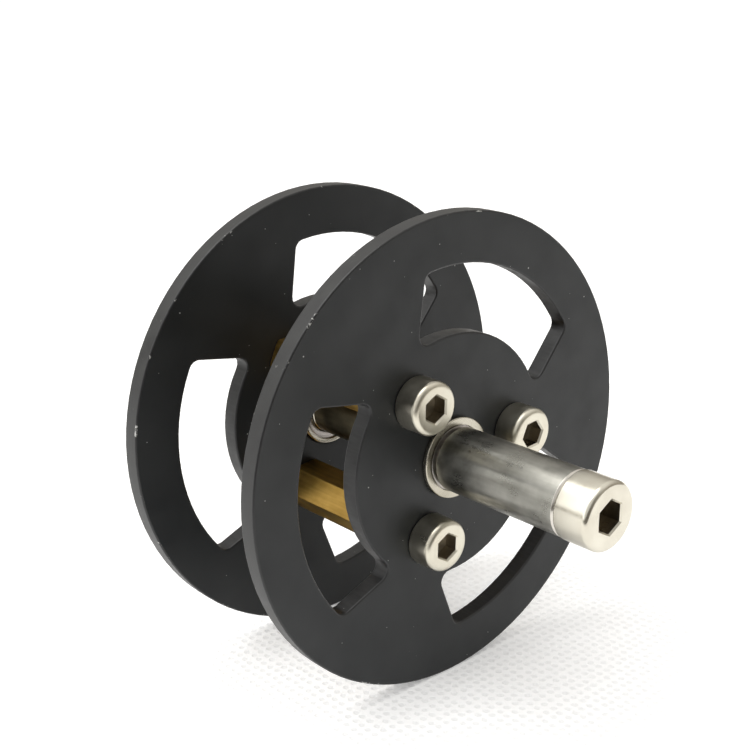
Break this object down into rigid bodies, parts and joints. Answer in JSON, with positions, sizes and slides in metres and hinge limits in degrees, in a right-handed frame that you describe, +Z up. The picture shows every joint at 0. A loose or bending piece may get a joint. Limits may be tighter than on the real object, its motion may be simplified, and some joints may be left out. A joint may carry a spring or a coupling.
{
  "type": "sailboat winch drum",
  "caption": "Free-running winch drum: windowed black flange plates on hexagonal brass standoffs, turning on flanged ball bearings round a long socket-head axle with a sleeve.",
  "frame": {"origin": "on the spin axis, at the middle of the axle screw's overall length, which is the centre of the whole part's box", "axes": "+X along the spin axis towards the axle's socket head, +Z up, +Y completing a right-handed frame"},
  "size_m": [0.049, 0.05, 0.05],
  "materials": {
    "plate_black": "black anodised sheet, satin, with bare silver nicks along the cut edges",
    "standoff_brass": "drawn brass hexagon bar, satin",
    "screw_nickel": "bright nickel plate",
    "sleeve_steel": "fine turned steel, satin",
    "spacer_brass": "turned brass tube, dull",
    "bearing_steel": "ground bearing steel, bright",
    "ball_steel": "polished bearing steel",
    "cage_brass": "pressed brass, bright",
    "shield_steel": "pressed steel shield, satin",
    "nut_zinc": "bright zinc plate",
    "nut_nylon": "natural nylon"
  },
  "bodies": {
    "axle": {"axle_screw": "screw_nickel", "axle_sleeve": "sleeve_steel", "bearing_spacer": "spacer_brass", "rear_shim": "sleeve_steel", "lock_nut": "nut_zinc", "lock_nut_insert": "nut_nylon", "front_bearing_inner_ring": "bearing_steel", "rear_bearing_inner_ring": "bearing_steel"},
    "drum": {"front_plate": "plate_black", "rear_plate": "plate_black", "standoff_1": "standoff_brass", "standoff_2": "standoff_brass", "standoff_3": "standoff_brass", "front_screw_1": "screw_nickel", "front_screw_2": "screw_nickel", "front_screw_3": "screw_nickel", "rear_screw_1": "screw_nickel", "rear_screw_2": "screw_nickel", "rear_screw_3": "screw_nickel", "front_bearing_outer_ring": "bearing_steel", "rear_bearing_outer_ring": "bearing_steel", "front_bearing_outside_shield": "shield_steel", "front_bearing_inside_shield": "shield_steel", "rear_bearing_outside_shield": "shield_steel", "rear_bearing_inside_shield": "shield_steel"},
    "front_cage": {"front_bearing_cage": "cage_brass", "front_bearing_ball_1": "ball_steel", "front_bearing_ball_2": "ball_steel", "front_bearing_ball_3": "ball_steel", "front_bearing_ball_4": "ball_steel", "front_bearing_ball_5": "ball_steel", "front_bearing_ball_6": "ball_steel", "front_bearing_ball_7": "ball_steel"},
    "rear_cage": {"rear_bearing_cage": "cage_brass", "rear_bearing_ball_1": "ball_steel", "rear_bearing_ball_2": "ball_steel", "rear_bearing_ball_3": "ball_steel", "rear_bearing_ball_4": "ball_steel", "rear_bearing_ball_5": "ball_steel", "rear_bearing_ball_6": "ball_steel", "rear_bearing_ball_7": "ball_steel"}
  },
  "joints": [
    {"name": "drum_spin", "type": "hinge", "parent": "axle", "child": "drum", "pos_m": [0, 0, 0], "axis": [1, 0, 0], "continuous": true},
    {"name": "front_cage_spin", "type": "hinge", "parent": "axle", "child": "front_cage", "pos_m": [0, 0, 0], "axis": [1, 0, 0], "continuous": true},
    {"name": "rear_cage_spin", "type": "hinge", "parent": "axle", "child": "rear_cage", "pos_m": [0, 0, 0], "axis": [1, 0, 0], "continuous": true}
  ],
  "couplings": [
    {"joint": "front_cage_spin", "follows": "drum_spin", "ratio": 0.5833},
    {"joint": "rear_cage_spin", "follows": "drum_spin", "ratio": 0.5833}
  ]
}
